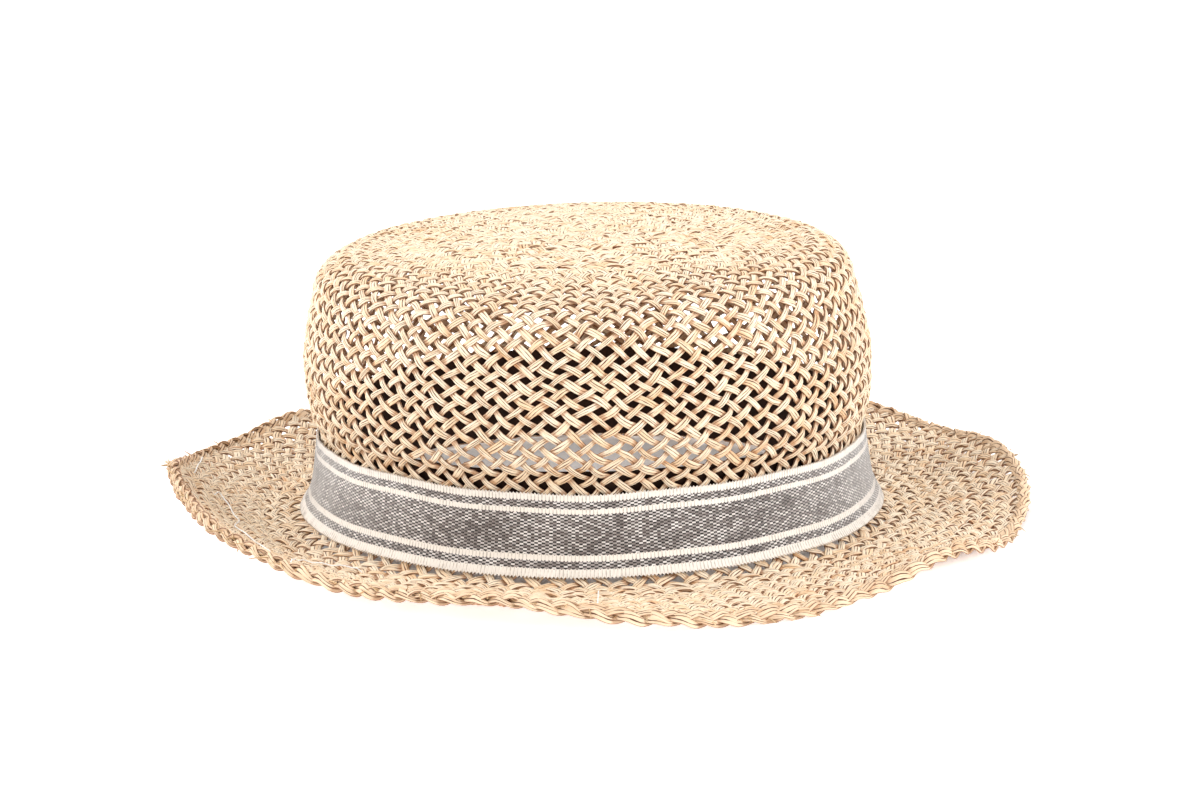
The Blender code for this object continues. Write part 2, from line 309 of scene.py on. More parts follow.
def place_of_height(height):
    """Distance along the straw, of a height on the wall of the crown."""
    wall = (PROFILE_HEIGHT <= SHOULDER_FOOT) & (PROFILE_RADIUS <= HALF_WIDTH)
    return float(np.interp(-height, -PROFILE_HEIGHT[wall], PROFILE_DISTANCE[wall]))


EDGE_PLACE = float(PROFILE_DISTANCE[-1])
# The straw's slope at its edge is read this far inside it
EDGE_STEP = 0.002
BRIM_RELIEF_RANGE = (EDGE_PLACE - 0.040, EDGE_PLACE - 0.020)


def smooth_step(value, low, high):
    """0 below the low end, 1 above the high end, with a soft start and finish."""
    share = np.clip((value - low) / (high - low), 0, 1)
    return share * share * (3 - 2 * share)


def hat_point(radius, angle, height):
    """Moves points of the round hat to their places on the oval, leaning and waved one."""
    across, along = np.cos(angle), OVAL * np.sin(angle)
    ramp = np.clip((height - BAND_HEIGHT) / (SHOULDER_FOOT - BAND_HEIGHT), 0, 1)
    inner = np.minimum(radius, HALF_WIDTH)
    x, y = inner * across, inner * along
    reach = np.maximum(radius - HALF_WIDTH, 0)
    seat_reach = SEAT_END - HALF_WIDTH
    share = np.clip((radius - SEAT_END) / (STRAW_EDGE - SEAT_END), 0, None)
    full = HALF_WIDTH + BRIM_WIDTH - SEAT_END
    stretch = (BRIM_SHARE(angle) * BRIM_WIDTH - seat_reach) / full
    reach = np.where(radius > SEAT_END, seat_reach + (radius - SEAT_END) * stretch, reach)
    out_x, out_y = np.cos(angle) * OVAL, np.sin(angle)
    length = np.hypot(out_x, out_y)
    lift = BRIM_CURL * BRIM_LIFT(angle) * share**BRIM_CURL_POWER
    on_tip = smooth_step(height, SHOULDER_FOOT, CROWN_HEIGHT)
    lift = lift + TIP_BULGE * on_tip * np.clip(1 - (radius / TIP_BULGE_RADIUS) ** 2, 0, 1)
    front = np.clip(-np.sin(angle), 0, 1) ** 2
    sink = smooth_step(radius, *FRONT_SINK_RADII) * smooth_step(height, *FRONT_SINK_HEIGHTS)
    lift = lift - FRONT_SINK * front * sink
    height = height + TIP_TILT * ramp * x + lift
    x = x + CROWN_LEAN * ramp + reach * out_x / length
    y = y + reach * out_y / length
    return np.stack([x, y, height], -1) + np.array(CROWN_FOOT)


def straw_point(place, angle):
    """A point on the outside of the straw, by its distance from the tip's middle and its angle."""
    beyond = np.maximum(place - EDGE_PLACE, 0)
    radius = np.interp(place, PROFILE_DISTANCE, PROFILE_RADIUS) + beyond
    height = np.interp(place, PROFILE_DISTANCE, PROFILE_HEIGHT)
    return hat_point(radius, angle, height)


def unit(vectors):
    """Vectors of length one."""
    return vectors / np.maximum(np.linalg.norm(vectors, axis=-1, keepdims=True), 1e-12)


def straw_normal(place, angle):
    """The way straight out of the straw, smoothed over about the width of a cord."""
    step = 0.0012
    middle = np.maximum(place, 2 * step)
    outward = straw_point(middle + step, angle) - straw_point(middle - step, angle)
    turn = 0.01
    round_it = straw_point(middle, angle + turn) - straw_point(middle, angle - turn)
    return unit(np.cross(outward, round_it))


def cord_rings(centres, normals, half_width, half_thickness, section, closed=False, roll=0.0):
    """Rings of points round lines of centres. Axes: cord, ring, corner, XYZ."""
    if closed:
        run = np.roll(centres, -1, 1) - np.roll(centres, 1, 1)
    else:
        run = np.gradient(centres, axis=1)
    run = unit(run)
    side = unit(np.cross(normals, run))
    up = np.cross(run, side)
    roll = np.broadcast_to(roll, half_width.shape)[..., None]
    side, up = side * np.cos(roll) + up * np.sin(roll), up * np.cos(roll) - side * np.sin(roll)
    wide = side[:, :, None] * (half_width[:, :, None] * section[..., 0])[..., None]
    thick = up[:, :, None] * (half_thickness[:, :, None] * section[..., 1])[..., None]
    rings = centres[:, :, None] + wide + thick
    rings[..., 2] = np.maximum(rings[..., 2], FLOOR_GAP)
    return rings


def leaf_section(run, rng):
    """Sections along cords whose creases wander from side to side and open and close."""
    section = np.broadcast_to(np.array(CORD_SECTION), run.shape + (len(CORD_SECTION), 2)).copy()
    for corner in CREASES:
        start = rng.uniform(0, 2 * math.pi, (run.shape[0], 3))
        wander = np.sin(1.1 * run + start[:, :1]) + np.sin(2.7 * run + start[:, 1:2])
        depth = np.sin(1.7 * run + start[:, 2:]) + np.sin(3.9 * run + start[:, :1])
        section[..., corner, 0] += 0.11 * wander
        section[..., corner, 1] += 0.13 * depth
        section[..., 3, 0] += 0.09 * wander
    return section


def cord_object(name, rings, tones, sunk, closed=False):
    """Closed tubes, with UV (metres along, share round), a tone for each and how deep they dip."""
    cords, count, sides, _ = rings.shape
    index = np.arange(cords * count * sides).reshape(cords, count, sides)
    near = index if closed else index[:, :-1]
    far = np.roll(index, -1, 1) if closed else index[:, 1:]
    quads = np.stack([near, np.roll(near, -1, 2), np.roll(far, -1, 2), far], -1)
    centres = rings.mean(2)
    steps = np.linalg.norm(np.diff(centres, axis=1), axis=-1)
    along = np.concatenate([np.zeros((cords, 1)), np.cumsum(steps, 1)], 1)
    if closed:
        along = np.concatenate([along, along[:, -1:] + steps[:, -1:]], 1)
    near_along, far_along = along[:, :-1], along[:, 1:]
    share = np.arange(sides) / sides
    u = np.stack([near_along, near_along, far_along, far_along], -1)[:, :, None]
    v = np.stack([share, share + 1 / sides, share + 1 / sides, share], -1)[None, None]
    uv = np.stack(np.broadcast_arrays(u, v), -1).reshape(-1, 2)
    corners = quads.reshape(-1)
    starts = np.arange(quads.size // 4) * 4
    if not closed:
        caps = np.concatenate([index[:, 0, ::-1], index[:, -1]])
        cap_u = np.concatenate([along[:, 0], along[:, -1]])
        cap_uv = np.stack(np.broadcast_arrays(cap_u[:, None], share), -1)
        starts = np.concatenate([starts, corners.size + np.arange(len(caps)) * sides])
        corners = np.concatenate([corners, caps.reshape(-1)])
        uv = np.concatenate([uv, cap_uv.reshape(-1, 2)])
    mesh = bpy.data.meshes.new(name)
    mesh.vertices.add(index.size)
    mesh.vertices.foreach_set("co", rings.reshape(-1))
    mesh.loops.add(corners.size)
    mesh.loops.foreach_set("vertex_index", corners.astype(np.int32))
    mesh.polygons.add(starts.size)
    mesh.polygons.foreach_set("loop_start", starts.astype(np.int32))
    mesh.update(calc_edges=True)
    mesh.uv_layers.new(name="UVMap").data.foreach_set("uv", uv.reshape(-1).astype(np.float32))
    tone = mesh.attributes.new("tone", "FLOAT", "POINT")
    tone.data.foreach_set("value", np.repeat(tones, count * sides).astype(np.float32))
    dip = mesh.attributes.new("sunk", "FLOAT", "POINT")
    dip.data.foreach_set("value", np.repeat(sunk.reshape(-1), sides).astype(np.float32))
    mesh.shade_smooth()
    if mesh.validate():
        raise RuntimeError(f"{name} has faces that Blender had to repair")
    piece = bpy.data.objects.new(name, mesh)
    bpy.context.scene.collection.objects.link(piece)
    return piece


def dress(piece, material, slot, *nodes):
    """Gives a finished piece its material and ties it to the frame."""
    piece.data.materials.clear()
    piece.data.materials.append(material)
    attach(piece, "root")
    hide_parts(*nodes)


class Weave:
    """Rows of crossings over the whole straw, and the cords that run through them."""

    def __init__(self, sizes):
        self.sizes = sizes
        wall = [place_of_height(height) for height, _ in WALL_ROWS]
        brim = place_of_radius(SEAT_END + PAST_SEAT)
        self.stations = [0, CLOSED_END, OPEN_START, *wall, brim, EDGE_PLACE]
        rows = [sizes.tip_row] * 2 + [TURN_SHARE * sizes.wall_row]
        rows += [share * sizes.wall_row for _, share in WALL_ROWS] + [sizes.brim_row] * 2
        self.widths = [sizes.tip_cord] * 2 + [sizes.wall_cord] * len(wall)
        self.widths += [TURN_SHARE * sizes.brim_cord] + [sizes.brim_cord] * 2
        places = np.linspace(0, EDGE_PLACE, 2000)
        per_row = 1 / np.interp(places, self.stations, rows)
        counted = np.cumsum((per_row[1:] + per_row[:-1]) / 2 * np.diff(places))
        self.places = places
        self.rows = np.concatenate([[0], counted])
        self.rng = np.random.default_rng(8)
        self.field = self.rng.uniform(0, 2 * math.pi, (10, 3))

    def row_of(self, place):
        """Number of the row at a distance along the straw."""
        return float(np.interp(place, self.places, self.rows))

    def place_of(self, row):
        """Distance along the straw of a row, also past the edge."""
        over = np.maximum(row - self.rows[-1], 0) * self.sizes.brim_row
        return np.interp(row, self.rows, self.places) + over

    def zone(self, number):
        """Cords in each direction, and the first and last row of a zone."""
        cords, radius = WEAVE_ZONES[number]
        first = self.row_of(place_of_radius(radius))
        if number > 0:
            first = round(first)
        if number + 1 < len(WEAVE_ZONES):
            last = round(self.row_of(place_of_radius(WEAVE_ZONES[number + 1][1])))
        else:
            last = self.rows[-1]
        return cords, first, last

    def drift(self, place, angle):
        """Uneven stretch that cords of both directions share, along the straw and round it."""
        shift_place = np.zeros(np.shape(place))
        shift_round = np.zeros(np.shape(place))
        for i, (a, b, c) in enumerate(self.field):
            waves = 3 + 5 * i
            length = 0.06 / (1 + 0.7 * i)
            shift_place += np.sin(waves * angle + place / length * 2.1 + a) / (1 + 0.3 * i)
            shift_round += np.sin(waves * angle - place / length * 1.7 + b + 0.3 * c) / (1 + 0.3 * i)
        return shift_place * self.sizes.unevenness, shift_round * self.sizes.unevenness

    def cords(self, number, way, part=0, parts=1):
        """Rings and tones of the cords of one zone that turn one way (1 or -1)."""
        sizes = self.sizes
        count, first, last = self.zone(number)
        start = first if number == 0 else first - TUCK_ROWS
        end = last + TUCK_ROWS if number + 1 < len(WEAVE_ZONES) else last + 0.9
        rings = int(round((end - start) * RINGS_PER_CROSSING)) + 1
        row = np.linspace(start, end, rings)
        # Whole rows are enough where nothing shows
        top, foot = [self.row_of(place_of_height(height)) for height in HIDDEN_WALL]
        shows = (row < top) | (row > foot) | (np.arange(rings) % RINGS_PER_CROSSING == 0)
        row = row[shows][None]
        which = np.arange(part, count, parts)[:, None]
        place = self.place_of(row)
        angle = 2 * math.pi * which / count + way * math.pi * (row - first) / count
        girth = np.maximum(np.interp(place, PROFILE_DISTANCE, PROFILE_RADIUS), MIN_GIRTH_RADIUS)
        along, aside = self.drift(place + 0 * angle, angle)
        # Each cord strays and rises a little in slow waves of its own
        loose = self.rng.uniform(0, 2 * math.pi, (len(which), 4))
        pace = self.rng.uniform(0.28, 0.62, (len(which), 4))
        stray = sum(np.sin(row * pace[:, k:k + 1] + loose[:, k:k + 1]) for k in range(4)) / 2
        stray = stray + 0.90 * np.sin(2.2 * row + loose[:, :1])
        stray = stray + 0.60 * np.sin(1.3 * row + loose[:, 1:2])
        ease = np.clip(place / STRAY_START, 0, 1)
        place = np.maximum(place + along * ease, HEART_RADIUS)
        angle = angle + (aside + 0.62 * sizes.unevenness * stray) * ease / girth
        wave = way * np.cos(math.pi * row)
        flat_wave = np.sign(wave) * np.abs(wave) ** 0.45
        bob = sum(np.sin(row * (pace[:, k:k + 1] + 0.9) + loose[:, k:k + 1]) for k in (1, 3)) / 2
        relief = TIP_RELIEF + (1 - TIP_RELIEF) * smooth_step(place, *WALL_RELIEF_RANGE)
        relief = relief + BRIM_RELIEF * smooth_step(place, *BRIM_RELIEF_RANGE)
        relief = sizes.cord_relief * relief
        depth = STRAW_THICKNESS / 2 - relief * flat_wave + BOB_HEIGHT * bob
        if number > 0:
            depth = depth + TUCK_DEPTH * np.clip(1 - (row - start) / (2 * TUCK_ROWS), 0, 1) ** 1.5
        if number + 1 < len(WEAVE_ZONES):
            depth = depth + TUCK_DEPTH * np.clip(1 - (end - row) / (2 * TUCK_ROWS), 0, 1) ** 1.5
        normal = straw_normal(place, angle)
        centre = straw_point(place, angle) - normal * depth[..., None]
        width = np.interp(place, self.stations, self.widths)
        crowd = np.clip(2 * math.pi * girth / count / width, 0.35, 1.0)
        own = self.rng.normal(1.0, 0.10, (len(which), 1))
        swell = 0.88 + 0.15 * np.abs(wave)
        swell = swell + 0.14 * np.sin(row * pace[:, :1] * 3.1 + loose[:, 1:2])
        half_width = width / 2 * own * swell * crowd
        half_thick = np.broadcast_to(sizes.cord_thickness / 2 * (1 + 0.10 * bob), half_width.shape)
        roll = 0.16 * np.sin(1.9 * row + loose[:, 2:3]) + 0.12 * np.sin(3.3 * row + loose[:, 3:])
        section = leaf_section(row + 0 * angle, self.rng)
        rings = cord_rings(centre, normal, half_width, half_thick, section, roll=roll)
        tones = self.rng.uniform(0, 1, len(which))
        return rings, tones, np.broadcast_to((1 - wave) / 2, half_width.shape)


def add_node(tree, kind, inputs=None, stops=None, **settings):
    """Adds a shader node with its settings, its colour stops and its values or links.

    A node that is given as a value stands for its first output in use.
    """
    made = tree.nodes.new("ShaderNode" + kind)
    for name, value in settings.items():
        setattr(made, name, value)
    for i, (place, colour) in enumerate(stops or ()):
        ramp = made.color_ramp.elements
        stop = ramp[i] if i < 2 else ramp.new(place)
        stop.position = place
        stop.color = (colour, colour, colour, 1) if isinstance(colour, float) else linear(colour)
    for socket, value in (inputs or {}).items():
        if isinstance(value, bpy.types.Node):
            value = next(output for output in value.outputs if output.enabled)
        if isinstance(value, bpy.types.NodeSocket):
            tree.links.new(value, made.inputs[socket])
        else:
            made.inputs[socket].default_value = value
    return made


def new_material(name):
    """An empty material, and the function that adds a node to it."""
    material = bpy.data.materials.new(name)
    material.use_nodes = True
    material.node_tree.nodes.clear()
    return material, partial(add_node, material.node_tree)


def seagrass(name, pale, mid, tan, dip_shade, edge, brown):
    """Seagrass, folded from leaves and pressed flat: dry, matt, with fine dark lines along it."""
    # The last three colours are painted shade: where a cord dips under the next, along its edges and in
    # its creases
    material, add = new_material(name)
    uv = add("UVMap", uv_map="UVMap")
    split = add("SeparateXYZ", {0: uv})
    tone = add("Attribute", attribute_name="tone").outputs["Fac"]
    sunk = add("Attribute", attribute_name="sunk").outputs["Fac"]
    # Each cord reads its own stretch of the patterns
    shift = add("Math", {0: tone, 1: 61.0}, operation="MULTIPLY")
    place = add("CombineXYZ", {0: split.outputs[0], 1: split.outputs[1], 2: shift})
    # Fibre bundles are about 0.6 mm across and 10 mm long
    fibre_at = add("Mapping", {0: place, 3: (105, 11, 1)})
    fibre = add("TexNoise", {0: fibre_at, 2: 1.0, 3: 3.0, 4: 0.62})
    # Leaves change colour every 13 mm or so
    leaf_at = add("Mapping", {0: place, 3: (75, 1.9, 1)})
    leaf = add("TexNoise", {0: leaf_at, 2: 1.0, 3: 2.0, 4: 0.5})
    blend = add("Math", {0: leaf, 1: 0.85, 2: 0.0}, operation="MULTIPLY_ADD")
    blend = add("Math", {0: tone, 1: 0.22, 2: blend}, operation="MULTIPLY_ADD")
    body = add("ValToRGB", {0: blend}, stops=((0.23, tan), (0.38, mid), (0.58, pale), (0.76, mid)))
    lines = add("ValToRGB", {0: fibre}, stops=((0.31, 0.10), (0.42, 1.0)))
    fibred = add("Mix", {0: lines, 6: linear(tan), 7: body}, data_type="RGBA")
    # Painted shade darkens the two creases, at 2/9 and 4/9 of the way round, in lines that fade in and
    # out
    crease = add("Math", {0: split.outputs[1], 1: 9.0, 2: -2.0}, operation="MULTIPLY_ADD")
    crease = add("Math", {0: crease, 1: 1.0}, operation="PINGPONG")
    # A crease opens and closes about every 4 mm
    open_at = add("Mapping", {0: place, 3: (230, 4.5, 1)})
    opening = add("TexNoise", {0: open_at, 2: 1.0, 3: 2.0})
    crease = add("Math", {0: opening, 1: -0.95, 2: crease}, operation="MULTIPLY_ADD")
    crease = add("Math", {0: crease, 1: 0.50}, operation="ADD")
    crease_mask = add("ValToRGB", {0: crease}, stops=((0.12, 0.0), (0.25, 1.0)))
    creased = add("Mix", {0: crease_mask, 6: linear(brown), 7: fibred}, data_type="RGBA")
    # Where a cord dips under the next it is painted brown: painted shade, where the cord above would
    # shadow it
    dip = add("Math", {0: fibre, 1: 0.55, 2: sunk}, operation="MULTIPLY_ADD")
    dip_shade_mask = add("ValToRGB", {0: dip}, stops=((0.72, 0.0), (1.00, 0.56)))
    dipped = add("Mix", {0: dip_shade_mask, 6: creased, 7: linear(dip_shade)}, data_type="RGBA")
    # Painted shade darkens both edges of a cord, at 0 and at 6/9 of the way round, where they turn down
    # into the gaps
    edge_shade_mask = add(
        "ValToRGB", {0: split.outputs[1]},
        stops=((0.0, 0.90), (0.072, 0.0), (0.578, 0.0), (0.667, 0.90), (0.740, 0.0),
               (0.930, 0.0), (1.0, 0.90)),
    )
    colour = add("Mix", {0: edge_shade_mask, 6: dipped, 7: linear(edge)}, data_type="RGBA")
    relief = add("Math", {0: fibre, 1: crease_mask}, operation="ADD")
    bump = add("Bump", {"Strength": 0.6, "Distance": 0.0003, "Height": relief})
    shader = add(
        "BsdfPrincipled",
        {"Base Color": colour, "Roughness": 0.6, "IOR": 1.45, "Normal": bump},
    )
    add("OutputMaterial", {0: shader})
    return material


def ribbon_cloth(name, rib, cream_threads):
    """Cotton ribbon with ribs across it: white warp over a charcoal one shows as a flecked grey."""
    material, add = new_material(name)
    uv = add("UVMap", uv_map="UVMap")
    split = add("SeparateXYZ", {0: uv})
    u, v = split.outputs[0], split.outputs[1]
    # Warp floats are drawn 0.5 mm apart, coarser than the real 0.3 mm, so that they show
    scale = (1 / rib, BAND_HEIGHT / 0.0005, 1)
    thread_at = add("Mapping", {0: uv, 3: scale})
    checks = add("TexChecker", {0: thread_at, 3: 1.0}).outputs[1]
    cell = add("VectorMath", {0: thread_at}, operation="FLOOR")
    flecks = add("TexWhiteNoise", {0: cell})
    # Thick places in the yarn are 3 mm long, and the dye clouds over 22 mm
    slub_at = add("Mapping", {0: uv, 3: (330, 12, 1)})
    slub = add("TexNoise", {0: slub_at, 2: 1.0, 3: 2.0, 4: 0.5})
    cloud_at = add("Mapping", {0: uv, 3: (45, 2.2, 1)})
    cloud = add("TexNoise", {0: cloud_at, 2: 1.0, 3: 2.0, 4: 0.5})
    ribs = add("Math", {0: u, 1: 1 / rib}, operation="MULTIPLY")
    ribs = add("Math", {0: ribs, 1: 0.5}, operation="PINGPONG")
    # The edge of each stripe bulges at every rib
    step = add("Math", {0: ribs, 1: 0.034, 2: v}, operation="MULTIPLY_ADD")
    stripes = add("ValToRGB", {0: step}, stops=(
        (0.0, 0.0), (0.107, 1.0), (0.201, 0.0), (0.272, 1.0),
        (0.767, 0.0), (0.829, 1.0), (0.923, 0.0),
    ))
    stripes.color_ramp.interpolation = "CONSTANT"
    bright = add("Math", {0: checks, 1: 0.44}, operation="MULTIPLY")
    bright = add("Math", {0: flecks, 1: 0.24, 2: bright}, operation="MULTIPLY_ADD")
    shade = add("Math", {0: slub, 1: 0.26, 2: bright}, operation="MULTIPLY_ADD")
    shade = add("Math", {0: cloud, 1: 0.26, 2: shade}, operation="MULTIPLY_ADD")
    grey = add("ValToRGB", {0: shade}, stops=(
        (0.32, "#161110"), (0.53, "#3F3634"), (0.76, "#897E79"), (0.94, "#E6E0DB"),
    ))
    # The cream darkens between the ribs as painted shade, mixed with the yarn's own slubs
    ribbed = add("Math", {0: ribs, 1: 1.7, 2: slub}, operation="MULTIPLY_ADD")
    cream = add("ValToRGB", {0: ribbed}, stops=((0.45, "#B9AEA2"), (0.80, cream_threads)))
    colour = add("Mix", {0: stripes, 6: cream, 7: grey}, data_type="RGBA")
    relief = add("Math", {0: ribs, 1: 2.0, 2: checks}, operation="MULTIPLY_ADD")
    bump = add("Bump", {"Strength": 0.7, "Distance": 0.00025, "Height": relief})
    shader = add(
        "BsdfPrincipled",
        {"Base Color": colour, "Roughness": 0.85, "IOR": 1.45, "Normal": bump,
         "Sheen Weight": 0.9, "Sheen Roughness": 0.5},
    )
    add("OutputMaterial", {0: shader})
    return material


def sweat_tape(name, brown):
    """Cotton tape, dyed a brown that is nearly black: fine ribs across it."""
    material, add = new_material(name)
    uv = add("UVMap", uv_map="UVMap")
    # Its ribs are 0.6 mm apart
    rib_at = add("Mapping", {0: uv, 3: (1000, 40, 1)})
    ribs = add("TexChecker", {0: rib_at, 3: 1.0}).outputs[1]
    soft = add("TexNoise", {0: rib_at, 2: 0.3, 3: 2.0})
    colour = add("ValToRGB", {0: soft}, stops=((0.3, "#25140C"), (0.7, brown)))
    bump = add("Bump", {"Strength": 0.4, "Distance": 0.00015, "Height": ribs})
    shader = add(
        "BsdfPrincipled",
        {"Base Color": colour, "Roughness": 0.9, "IOR": 1.4, "Normal": bump},
    )
    add("OutputMaterial", {0: shader})
    return material


def clear_nylon(name):
    """Drawn nylon thread: colourless and glossy, it shows as a pale line."""
    material, add = new_material(name)
    at = add("TexCoord").outputs["Object"]
    # Its gloss changes about every millimetre
    dust = add("TexNoise", {0: at, 2: 900.0, 3: 2.0})
    rough = add("MapRange", {0: dust, 3: 0.18, 4: 0.34})
    shader = add(
        "BsdfPrincipled",
        {"Base Color": linear("#FAF9F6"), "Roughness": rough, "IOR": 1.53,
         "Transmission Weight": 0.15},
    )
    add("OutputMaterial", {0: shader})
    return material


def glowing_floor(name):
    """Matt white acrylic with the faint tooth of its sanded face. It glows as painted light."""
    material, add = new_material(name)
    at = add("TexCoord").outputs["Object"]
    # The tooth is drawn 2.5 mm wide, coarser than that of fine sanding
    tooth = add("TexNoise", {0: at, 2: 400.0, 3: 3.0})
    colour = add("ValToRGB", {0: tooth}, stops=((0.2, "#F6F6F6"), (0.8, "#FAFAFA")))
    # Painted light: the floor glows, which paints away the hat's shadow, and glows less under the hat,
    # as painted shade, in three ovals. Columns: how far right and back its middle lies, share of the
    # depth that the oval is wide, radii of its soft edge, glow within and beyond
    lit = 0.0
    for right, back, wide, near, far, within, beyond in (
        (0.000, 0.00, 1.00, 0.146, 0.158, 0.02, 0.68),
        (0.016, 0.06, 0.87, 0.160, 0.174, 0.02, 0.68),
        (0.000, 0.03, 1.00, 0.080, 0.100, 0.19, 0.00),
    ):
        flat_at = add("Mapping", {0: at, 1: (-right / wide, -back, 0), 3: (1 / wide, 1, 0)})
        away = add("VectorMath", {0: flat_at}, operation="LENGTH")
        glow = add("MapRange", {0: away, 1: near, 2: far, 3: within, 4: beyond})
        lit = add("Math", {0: glow, 1: lit}, operation="MAXIMUM")
    shader = add(
        "BsdfPrincipled",
        {"Base Color": colour, "Roughness": 0.95, "IOR": 1.3,
         "Emission Color": linear("#FFFFFF"), "Emission Strength": lit},
    )
    add("OutputMaterial", {0: shader})
    return material


def band_sheet(name, columns, rows, thickness, shape):
    """A band round the crown: a grid, bent by shape(turn, rise), with a thickness inwards."""
    bpy.ops.object.select_all(action="DESELECT")
    bpy.ops.mesh.primitive_grid_add(x_subdivisions=columns, y_subdivisions=rows, size=1)
    band = bpy.context.active_object
    band.name = name
    band.data.name = name
    count = len(band.data.vertices)
    flat = np.empty(count * 3)
    band.data.vertices.foreach_get("co", flat)
    flat = flat.reshape(-1, 3) + 0.5
    band.data.vertices.foreach_set("co", shape(flat[:, 0], flat[:, 1]).reshape(-1))
    bpy.ops.object.mode_set(mode="EDIT")
    bpy.ops.mesh.select_all(action="SELECT")
    bpy.ops.mesh.remove_doubles(threshold=0.00002)
    bpy.ops.mesh.normals_make_consistent(inside=False)
    bpy.ops.object.mode_set(mode="OBJECT")
    wall = band.modifiers.new("Thickness", "SOLIDIFY")
    wall.thickness = thickness
    wall.offset = -1
    bpy.ops.object.modifier_apply(modifier=wall.name)
    bpy.ops.object.shade_smooth_by_angle(angle=math.radians(50))
    band.data.uv_layers.active.name = "UVMap"
    return band


class HAT_OT_straw(Operator):
    """Weaves the crown and the brim, over one and under one, in two slanting directions"""

    bl_idname = "hat.straw"
    bl_label = "Straw"

    def execute(self, context):
        weave = Weave(context.scene.hat_sizes)
        colours = context.scene.hat_colours
        straw = seagrass(
            "seagrass, folded and pressed", colours.straw_pale, colours.straw_mid,
            "#CC9E70", "#AE7140", "#854B22", "#5A2E14",
        )
        # The brim is pressed less, and the painted shade along its cords' edges, creases and dips is
        # darker and redder
        loose = seagrass(
            "seagrass, folded", colours.straw_pale, colours.straw_mid,
            "#D09C6E", "#B06B3C", "#7C3F1B", "#552A10",
        )
        tip = [weave.cords(number, way) for number in (0, 1, 2) for way in (1, -1)]
        groups = {f"tip_cords_{i + 1}": made for i, made in enumerate(tip)}
        for way, side in ((1, "left"), (-1, "right")):
            for part in (0, 1):
                groups[f"crown_cords_{side}_{part + 1}"] = weave.cords(3, way, part, 2)
            groups[f"brim_cords_{side}"] = weave.cords(4, way)
        for name, (rings, tones, sunk) in groups.items():
            material = loose if name.startswith("brim") else straw
            dress(cord_object(name, rings, tones, sunk), material, "straw", "straw_body")
        return {"FINISHED"}


class HAT_OT_plait(Operator):
    """Plaits three cords round the edge of the brim"""

    bl_idname = "hat.plait"
    bl_label = "Plaited edge"

    def execute(self, context):
        sizes = context.scene.hat_sizes
        rng = np.random.default_rng(21)
        stations = 900
        # Degrees by which its face is turned outwards everywhere, and how many more at the front
        lean_all, lean_front = 6, 52
        angle = np.linspace(0, 2 * math.pi, stations, endpoint=False)[None]
        edge = np.full(angle.shape, EDGE_PLACE)
        normal = straw_normal(edge - EDGE_STEP, angle)
        rim = straw_point(edge, angle) - normal * (STRAW_THICKNESS / 2)
        inner = straw_point(edge - EDGE_STEP, angle) - normal * (STRAW_THICKNESS / 2)
        outward = unit(rim - inner)
        middle = rim + outward * (CLEARANCE + PLAIT_RADIUS)
        run = np.linalg.norm(np.roll(middle, -1, 1) - middle, axis=-1).sum()
        turns = round(run / sizes.plait_pitch)
        cords = np.arange(3)[:, None]
        phase = turns * angle + 2 * math.pi * cords / 3
        phase = phase + 0.25 * np.sin(7 * angle + 1.0) + 0.3 * np.sin(19 * angle + cords)
        lean = np.radians(lean_all + lean_front * np.clip(-np.sin(angle), 0, 1) ** 1.5)[..., None]
        face = normal * np.cos(lean) + outward * np.sin(lean)
        across = outward * np.cos(lean) - normal * np.sin(lean)
        # Its cords run nearly straight from side to side
        aside = 0.58 * PLAIT_RADIUS * (np.sin(phase) - np.sin(3 * phase) / 9)
        raised = 0.46 * PLAIT_RADIUS * np.sin(2 * phase)
        centre = middle + across * aside[..., None] + face * raised[..., None]
        swell = 1 + 0.20 * np.sin(31 * angle + 2 * cords) + 0.15 * np.sin(73 * angle + cords)
        swell = swell + 0.10 * np.sin(2 * phase) - 0.24 * np.clip(np.sin(phase), 0, 1) ** 2
        half_width = sizes.plait_cord / 2 * swell
        half_thick = 0.21 * sizes.plait_cord * np.ones_like(swell)
        facing = np.broadcast_to(face, centre.shape)
        section = leaf_section(3 * np.sin(9 * angle + cords) + 4 * np.cos(5 * angle), rng)
        # A cord turns over the side of the plait, which rounds both its sides
        roll = 0.30 * np.cos(phase) + 0.85 * np.cos(lean[..., 0]) ** 1.5 * np.sin(phase)
        roll = roll + 0.18 * np.sin(37 * angle + cords)
        rings = cord_rings(centre, facing, half_width, half_thick, section, closed=True, roll=roll)
        straw = seagrass(
            "seagrass, plaited", "#E4C9AA", "#D5B492", "#BF946A", "#90603A", "#784423", "#52290F",
        )
        tones = rng.uniform(0, 1, 3)
        # How far each cord dips under the others, which the material darkens as painted shade
        sunk = np.clip(0.10 - 0.90 * np.sin(2 * phase), 0, 1)
        piece = cord_object("brim_plait", rings, tones, sunk, closed=True)
        dress(piece, straw, "straw_edge", "edge_plait")
        return {"FINISHED"}


